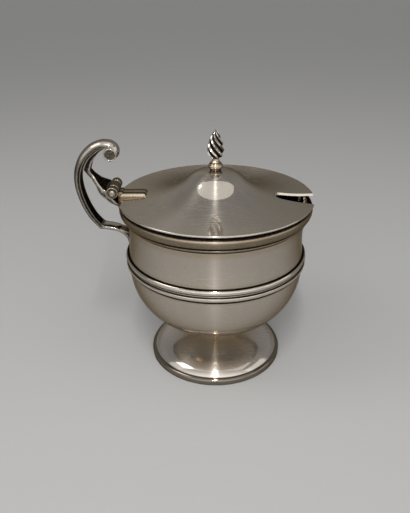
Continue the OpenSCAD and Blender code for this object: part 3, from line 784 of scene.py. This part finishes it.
def makeStrap():
    s, m = hingeStrap, rimMoulding
    bm = bmesh.new()
    loftBar(bm, strapStations(), s["crown"], s["edge"], s["keep"])
    strap = makePiece(bm, "hingeStrap")
    cutAway(strap, barrelCutter(s["barrelHalf"], s["barrelSteps"]))
    middle = rodLine(s["room"], -s["slot"] / 2, s["slot"] / 2)
    cutAway(strap, spunCutter("middleCutter", middle, False, s["barrelSteps"], hingeAxis))
    cutAway(strap, slotCutter())
    bead = arcRun(m["bead"], m["beadR"] + s["beadGap"], -180, 180, count=41)[:-1]
    cutAway(strap, spunCutter("beadCutter", bead, True, s["rimSteps"]))
    radius, height = s["lidRoomR"], s["lidRoom"][1]
    edge = arcRun(s["lidRoom"], radius, -90, 90, count=13)
    edge = [(0, height - radius)] + edge + [(0, height + radius)]
    cutAway(strap, spunCutter("lidRoomCutter", edge, False, s["rimSteps"]))
    seat(strap, "pot", "hinge_strap", handleSilver)


def makeKnuckle(name, span, body, node):
    h = hingeBarrel
    low, high = span
    end = [(r, 0) for r in (h["bore"], *h["endRings"], h["outerR"])] + [(h["outerR"], h["endBand"])]
    line = [(r, low + q) for r, q in end] + [(r, high - q) for r, q in end[::-1]]
    bm = bmesh.new()
    spinProfile(bm, line, True, h["steps"], hingeAxis)
    marks = bm.verts.layers.float.new("grime")
    for vert in bm.verts:
        # knuckles darken towards their undersides, a painted shade; their ends, in the joints, are darker
        # with tarnish and painted shade
        under = (hingeZ - vert.co.z / mm) / h["outerR"]
        tip = min(abs(vert.co.y / mm - low), abs(vert.co.y / mm - high)) < h["endReach"]
        vert[marks] = h["endGrimeAndShade"] if tip else max(h["grime"], under)
    wearEdges(softenEdges(bm, h["edge"], segments=3), marks, h["keep"])
    seat(makePiece(bm, name), body, node, hingeSilver)


def makePin():
    h = hingeBarrel
    half, r = h["pinHalf"], h["pinR"]
    tip = half + h["pinEnd"]
    end = bent((r, half), (r, half + h["pinEnd"] / 2), (r / 2, tip), (0, tip - h["pinDip"]), count=8)
    line = [(p, -q) for p, q in end[::-1]] + end
    bm = bmesh.new()
    spinProfile(bm, line, False, h["pinSteps"], hingeAxis)
    seat(makePiece(bm, "hingePin"), "pot", "hinge_pin", hingeSilver)


makeHandle()
makeStrap()
makeKnuckle("knuckleFront", hingeBarrel["front"], "pot", "knuckle_front")
makeKnuckle("knuckleRear", hingeBarrel["rear"], "pot", "knuckle_rear")
makeKnuckle("lidKnuckle", hingeBarrel["lid"], "lid", "lid_knuckle")
makePin()
print("handle, strap and hinge made")


# lid: dome, hollow slope and rounded edge, with the notch cut through
lidDome = {
    "seatR": 2.208, "topZ": 68.7, "domePull": ((5.244, 68.7), (6.992, 68.2)),
    "domeR": 9.2, "slopeZ": 66.2, "slopePull": ((12.512, 63.2), (17.48, 60.09)),
    "edgeR": 31.64, "edgeZ": 60.3, "seatZ": 59.6, "thick": 0.7,
    "hole": 0.85, "bezelIn": 27.2, "landR": 26.7, "steps": 256,
}

# slot with a round inner end that widens outwards past the lid's edge
lidNotch = {
    "end": 22.0, "endR": 2.4, "side": 12.1, "past": 14, "turn": -7, "low": 56, "rise": 5, "lean": 0.3,
}


def lidFace():
    d = lidDome
    dome = bent((d["seatR"], d["topZ"]), *d["domePull"], (d["domeR"], d["slopeZ"]), count=20)
    slope = bent((d["domeR"], d["slopeZ"]), *d["slopePull"], (d["edgeR"], d["edgeZ"]), count=40)
    return dome + slope[1:]


def notchOutline(grow):
    n = lidNotch
    side = math.radians(n["side"])
    radius, past = n["endR"] + grow, n["end"] + n["past"]
    half = (radius + n["past"] * math.sin(side)) / math.cos(side)
    outline = arcRun((n["end"], 0), radius, 90 + n["side"], 270 - n["side"], count=24)
    return outline + [(past, -half), (past, half)]


# the notch's walls lean back above the seat, so that the sheet's edge catches the light
def notchCutter(grow):
    n, seatZ = lidNotch, lidDome["seatZ"]
    bm = bmesh.new()
    rings = []
    for height, lean in ((n["low"], 0), (seatZ, 0), (seatZ + n["rise"], n["rise"] * n["lean"])):
        outline = notchOutline(grow + lean)
        ring = bmesh.ops.create_circle(bm, segments=len(outline), radius=1)["verts"]
        for vert, (px, py) in zip(ring, outline):
            vert.co = (px * mm, py * mm, height * mm)
        rings.append(ring)
    loops = bridgeRings(bm, rings)
    bmesh.ops.holes_fill(bm, edges=loops[0] + loops[-1])
    turn = Matrix.Rotation(math.radians(n["turn"]), 3, "Z")
    bmesh.ops.rotate(bm, cent=(0, 0, 0), matrix=turn, verts=bm.verts)
    bmesh.ops.recalc_face_normals(bm, faces=bm.faces)
    return makePiece(bm, "notchCutter")


def makeLid():
    d = lidDome
    face = lidFace()
    under = [p for p in insetLine(face, -d["thick"]) if p[0] < d["landR"] and p[1] > d["seatZ"]]
    line = [(d["hole"], d["topZ"])] + face
    line += arcRun((d["edgeR"], d["seatZ"] + d["thick"] / 2), d["thick"] / 2, 90, -90, count=12)[1:]
    line += [(d["bezelIn"], d["seatZ"])] + under[::-1] + [(d["hole"], d["topZ"] - d["thick"])]
    bm = bmesh.new()
    spinProfile(bm, line, True, d["steps"])
    lid = makePiece(bm, "lidDome")
    cutAway(lid, notchCutter(0))
    seat(lid, "lid", "lid_shell", lidSilver)


# ring under the lid that steadies it in the mouth
lidBezel = {
    "innerR": 27.2, "outerR": 28.0, "low": 57.6, "high": 59.6, "relief": 0.5, "edge": 0.15, "steps": 224,
}


def makeBezel():
    b = lidBezel
    line = [(b["innerR"], b["low"]), (b["outerR"], b["low"])]
    line += [(b["outerR"], b["high"]), (b["innerR"], b["high"])]
    bm = bmesh.new()
    spinProfile(bm, line, True, b["steps"])
    softenEdges(bm, b["edge"], segments=3)
    bezel = makePiece(bm, "lidBezel")
    cutAway(bezel, notchCutter(b["relief"]))
    seat(bezel, "lid", "lid_bezel", lidSilver)


# bevelled plate on the lid with the tongue that carries the middle knuckle
hingePlate = {
    "x": (-30.9, -22.6), "width": 6.0, "top": 61.5, "bevel": 0.6, "low": 59.7, "edge": 0.09,
    "tongueX": (-31.74, -30.2), "tongueW": 4.8, "tongueTop": 61.98,
    "cutR": 32.0, "cutZ": 58.0, "cutSteps": 200, "bevelFold": 30, "shadeFold": 40,
    "barrelHalf": 9.0, "barrelSteps": 96, "grime": 0.75, "darkBelowZ": 60.75,
}


def plateBlock(bm, x, width, top, bevel):
    low = hingePlate["low"]
    made = bmesh.ops.create_cube(bm, size=1)["verts"]
    bmesh.ops.scale(bm, vec=((x[1] - x[0]) * mm, width * mm, (top - low) * mm), verts=made)
    bmesh.ops.translate(bm, vec=((x[0] + x[1]) / 2 * mm, 0, (top + low) / 2 * mm), verts=made)
    if bevel:
        upper = {v for v in made if abs(v.co.z - top * mm) < meshGaps["thin"]}
        rim = {e for v in upper for e in v.link_edges if upper.issuperset(e.verts)}
        bmesh.ops.bevel(
            bm, geom=list(rim), offset=bevel * mm, offset_type="OFFSET", affect="EDGES", segments=1,
            profile=0.5, material=-1)


def makePlate():
    p, d = hingePlate, lidDome
    bm = bmesh.new()
    plateBlock(bm, p["x"], p["width"], p["top"], p["bevel"])
    softenEdges(bm, p["edge"], segments=2, fold=p["bevelFold"])
    plate = makePiece(bm, "hingePlate", p["shadeFold"])
    bm = bmesh.new()
    plateBlock(bm, p["tongueX"], p["tongueW"], p["tongueTop"], 0)
    softenEdges(bm, p["edge"], segments=2)
    tongue = makePiece(bm, "plateTongue", p["shadeFold"])
    under = lidFace() + [(p["cutR"], d["edgeZ"]), (p["cutR"], p["cutZ"]), (0, p["cutZ"]), (0, d["topZ"])]
    for block in (plate, tongue):
        cutAway(block, spunCutter("lidCutter", under, True, p["cutSteps"]), p["shadeFold"])
    cutAway(tongue, barrelCutter(p["barrelHalf"], p["barrelSteps"]), p["shadeFold"])
    joinInto(plate, tongue)
    bm = bmesh.new()
    bm.from_mesh(plate.data)
    marks = bm.verts.layers.float.new("grime")
    # vertices low on the plate, next to the lid, are darkened
    for vert in bm.verts:
        vert[marks] = p["grime"] if vert.co.z < p["darkBelowZ"] * mm else 0.0
    bm.to_mesh(plate.data)
    bm.free()
    seat(plate, "lid", "hinge_plate", plateSilver)


# finial: stud, bead and stem turned in one, and a flame of sharp ridges that wind up to its tip
flameFinial = {
    "studR": 0.8, "studZ": 66.2, "lidZ": 68.7, "filletR": 1.76, "filletH": 0.5, "bead": (1.6, 70.096),
    "beadR": 0.8, "beadTurn": 60, "stemFoot": (1.84, 70.992),
    "stemPull": ((1.785, 71.394), (1.05, 71.716)), "stemR": 1.05, "stemZ": 72.359, "capRise": 0.2,
    "edge": 0.06, "steps": 72,
    "flameZ": 72.6, "flameLift": 0.05, "flamePull": ((3.834, 73.014), (2.889, 78.212)), "tipZ": 81.79,
    "rootR": 0.903, "tipR": 0.15, "ridges": 6, "ridgePoints": 20, "depth": 0.222, "turn": 215,
    "rings": 64, "grimeShadeFrom": 0.45, "grimeShadeFade": 0.3, "shadeFold": 35,
}


def makeStem():
    f = flameFinial
    line = [(0, f["studZ"]), (f["studR"], f["studZ"]), (f["studR"], f["lidZ"]), (f["filletR"], f["lidZ"])]
    line += [(f["filletR"], f["lidZ"] + f["filletH"])]
    line += arcRun(f["bead"], f["beadR"], -f["beadTurn"], f["beadTurn"], count=14)
    line += bent(f["stemFoot"], *f["stemPull"], (f["stemR"], f["stemZ"]), count=12)
    line += [(f["stemR"], f["flameZ"]), (0, f["flameZ"] + f["capRise"])]
    bm = bmesh.new()
    spinProfile(bm, line, False, f["steps"])
    softenEdges(bm, f["edge"], segments=2)
    return makePiece(bm, "flameFinial")


# the flame grows ring by ring: each ring of ridges is extruded, lifted, sized and turned a little
def makeFlame():
    f = flameFinial
    root = (f["rootR"], f["flameZ"] + f["flameLift"])
    path = bent(root, *f["flamePull"], (f["tipR"], f["tipZ"]), f["rings"])
    bm = bmesh.new()
    marks = bm.verts.layers.float.new("grime")
    count = f["ridges"] * f["ridgePoints"]
    ring = bmesh.ops.create_circle(bm, segments=count, radius=1, cap_ends=True)["verts"]
    bmesh.ops.rotate(bm, cent=(0, 0, 0), matrix=Matrix.Rotation(math.pi / 2, 3, "Z"), verts=ring)
    for i, vert in enumerate(ring):
        groove = abs(math.sin(math.pi * i / f["ridgePoints"]))
        vert.co *= 1 - f["depth"] * groove
        # the grooves between the ridges are darkened with tarnish and a painted dark reflection
        vert[marks] = min(max((groove - f["grimeShadeFrom"]) / f["grimeShadeFade"], 0.0), 1.0)
    bmesh.ops.scale(bm, vec=(path[0][0] * mm, path[0][0] * mm, 1), verts=ring)
    bmesh.ops.translate(bm, vec=(0, 0, path[0][1] * mm), verts=ring)
    cap = bm.faces[:]
    for (r0, z0), (r1, z1) in zip(path, path[1:]):
        grown = bmesh.ops.extrude_face_region(bm, geom=cap)["geom"]
        if z0 > path[0][1]:
            bmesh.ops.delete(bm, geom=cap, context="FACES_ONLY")
        cap = [g for g in grown if isinstance(g, bmesh.types.BMFace)]
        verts = [g for g in grown if isinstance(g, bmesh.types.BMVert)]
        turn = math.radians(-f["turn"] * (z1 - z0) / (f["tipZ"] - f["flameZ"]))
        bmesh.ops.translate(bm, vec=(0, 0, (z1 - z0) * mm), verts=verts)
        bmesh.ops.scale(bm, vec=(r1 / r0, r1 / r0, 1), verts=verts)
        bmesh.ops.rotate(bm, cent=(0, 0, 0), matrix=Matrix.Rotation(turn, 3, "Z"), verts=verts)
    bmesh.ops.recalc_face_normals(bm, faces=bm.faces)
    return makePiece(bm, "flame", f["shadeFold"])


def makeFinial():
    stem = makeStem()
    joinInto(stem, makeFlame())
    seat(stem, "lid", "finial", finialSilver)


# six-sided nut under the lid
finialNut = {
    "sides": 6, "across": 4.4, "low": 66.6, "high": 68.0, "hole": 0.85, "bore": (66, 69), "edge": 0.12,
    "steps": 40, "shadeFold": 40,
}


def makeNut():
    n = finialNut
    radius = n["across"] / 2 * mm
    bm = bmesh.new()
    bmesh.ops.create_cone(
        bm, cap_ends=True, segments=n["sides"], radius1=radius, radius2=radius,
        depth=(n["high"] - n["low"]) * mm)
    bmesh.ops.translate(bm, vec=(0, 0, (n["low"] + n["high"]) / 2 * mm), verts=bm.verts)
    softenEdges(bm, n["edge"], segments=2)
    nut = makePiece(bm, "finialNut", n["shadeFold"])
    bore = spunCutter("boreCutter", rodLine(n["hole"], *n["bore"]), False, n["steps"])
    cutAway(nut, bore, n["shadeFold"])
    seat(nut, "lid", "finial_nut", hingeSilver)


makeLid()
makeBezel()
makePlate()
makeFinial()
makeNut()
print("lid, plate and finial made")


# pale floor, soft sky and lamps, each lamp as name, place, width, height and power
studio = {
    "floor": (0.49, 0.485, 0.475, 1), "floorSize": 12.0,
    "floorGrain": (900, 3.0), "floorDim": 0.97, "floorRough": 0.75,
    "sky": [(0.0, (0.20, 0.20, 0.20, 1)), (0.4, (0.29, 0.29, 0.29, 1)), (1.0, (0.18, 0.18, 0.185, 1))],
    "frontFrom": -0.25, "frontGain": 2.0, "frontGlow": 4.0,
    "patchAim": (-0.24, 0.91, 0.34), "patchFrom": 0.93, "patchFade": 0.07, "patchGlow": 0.3,
    "lampAim": (0, 0, 0.04),
    "lamps": [
        ("topBox", (0.0, -0.06, 0.46), 0.68, 0.26, 0.33),
        ("keyLamp", (-0.28, -0.06, 0.38), 0.16, 0.16, 0.22),
        ("stripLamp", (-0.005, -0.26, 0.36), 0.012, 0.28, 0.75),
        ("leftLamp", (-0.40, -0.10, 0.24), 0.18, 0.25, 0.08),
        ("rightLamp", (0.42, -0.08, 0.20), 0.32, 0.25, 0.18)],
}


def makeFloor():
    s = studio
    bm = bmesh.new()
    bmesh.ops.create_grid(bm, x_segments=2, y_segments=2, size=s["floorSize"] / 2)
    floor = makePiece(bm, "studioFloor")
    paint, shader, place = newFinish("palePaper")
    grain = noiseOn(place, *s["floorGrain"])
    mixTones(grain, dimmed(s["floor"], s["floorDim"]), s["floor"]).feed(shader, "Base Color")
    shader.inputs["Roughness"].default_value = s["floorRough"]
    floor.data.materials.append(paint)


def makeLamps():
    for name, spot, width, height, power in studio["lamps"]:
        lamp = bpy.data.lights.new(name, "AREA")
        lamp.shape = "RECTANGLE"
        lamp.size = width
        lamp.size_y = height
        lamp.energy = power
        holder = bpy.data.objects.new(name, lamp)
        holder.visible_camera = False
        holder.location = spot
        ahead = Vector(studio["lampAim"]) - Vector(spot)
        holder.rotation_euler = ahead.to_track_quat("-Z", "Y").to_euler()
        bpy.context.scene.collection.objects.link(holder)


# the sky's front half is brighter, and a soft patch at the back left shows in the lid's left slope
def makeSky():
    s = studio
    world = bpy.data.worlds.new("studioSky")
    world.use_nodes = True
    aim = Wire(world.node_tree).node("ShaderNodeTexCoord", out="Generated")
    across, ahead, rise = splitAxes(aim)
    fade = aim.node("ShaderNodeValToRGB", {"stops": s["sky"]}, {0: rise.clip()})
    front = ((s["frontFrom"] - ahead) * s["frontGain"]).clip() * s["frontGlow"]
    px, py, pz = s["patchAim"]
    toPatch = across * px + ahead * py + rise * pz
    patch = ((toPatch - s["patchFrom"]) / s["patchFade"]).clip() * s["patchGlow"]
    gain = 1.0 + front + patch
    lit = aim.node("ShaderNodeVectorMath", {"operation": "SCALE"}, {0: fade, "Scale": gain})
    lit.feed(world.node_tree.nodes["Background"], "Color")
    bpy.context.scene.world = world


# the photograph's camera, turned in degrees, its focal length in pixels of a frame 513 high
cameraFit = {
    "place": (0, -0.16624, 0.12437), "yaw": -1.258, "down": 27.62, "roll": -0.52,
    "focal": 540, "frameHigh": 513, "sensor": 36, "near": 0.01, "far": 40,
}


def makeCamera():
    c = cameraFit
    yaw, down, roll = (math.radians(c[k]) for k in ("yaw", "down", "roll"))
    ahead = Vector((math.sin(yaw) * math.cos(down), math.cos(yaw) * math.cos(down), -math.sin(down)))
    right = Vector((math.cos(yaw), -math.sin(yaw), 0))
    up = right.cross(ahead)
    tiltRight = right * math.cos(roll) + up * math.sin(roll)
    tiltUp = up * math.cos(roll) - right * math.sin(roll)
    lens = bpy.data.cameras.new("photoCamera")
    lens.sensor_width = c["sensor"]
    lens.lens = c["focal"] / c["frameHigh"] * c["sensor"]
    lens.clip_start = c["near"]
    lens.clip_end = c["far"]
    camera = bpy.data.objects.new("photoCamera", lens)
    turn = Matrix((tiltRight, tiltUp, -ahead)).transposed().to_4x4()
    camera.matrix_world = Matrix.Translation(Vector(c["place"])) @ turn
    bpy.context.scene.collection.objects.link(camera)
    bpy.context.scene.camera = camera


makeFloor()
makeLamps()
makeSky()
makeCamera()
bpy.context.scene.view_settings.view_transform = "Standard"
print("studio and camera set")
